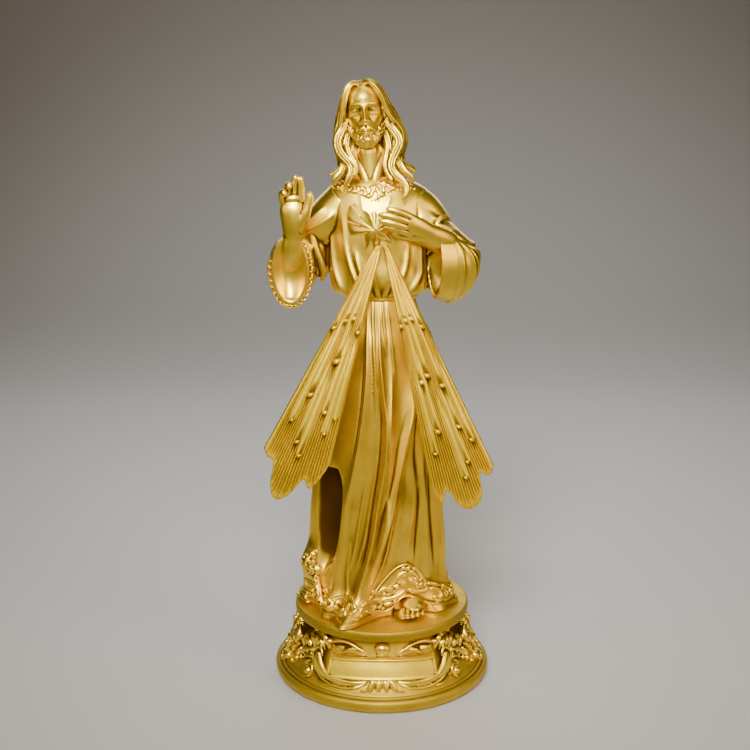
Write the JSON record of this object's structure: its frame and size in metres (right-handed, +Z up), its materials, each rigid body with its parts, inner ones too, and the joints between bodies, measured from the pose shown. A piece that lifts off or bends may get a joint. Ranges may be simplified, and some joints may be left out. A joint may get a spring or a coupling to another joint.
{
  "type": "religious statuette",
  "caption": "Gilt cast statuette of a robed, bearded man with a raised right hand and two fans of rays, on a round scrolled plinth; an ornament that stands by its own weight.",
  "frame": {"origin": "centre of the plinth's underside, on the plinth's axis", "axes": "+Z up; the figure faces -Y; +X is the figure's left, a front viewer's right"},
  "size_m": [0.1114, 0.1096, 0.2998],
  "materials": {
    "gilt_figure": "cast resin with a bright gold paint, darker in the creases",
    "gilt_rays": "cast resin with a slightly grainy gold paint",
    "gilt_plinth": "cast resin with gold paint, glossy on the scrolls and matt on the disc and foot"
  },
  "bodies": {
    "root": {"figure": "gilt_figure", "ray_fan_right": "gilt_rays", "ray_fan_left": "gilt_rays", "plinth": "gilt_plinth"}
  },
  "joints": []
}
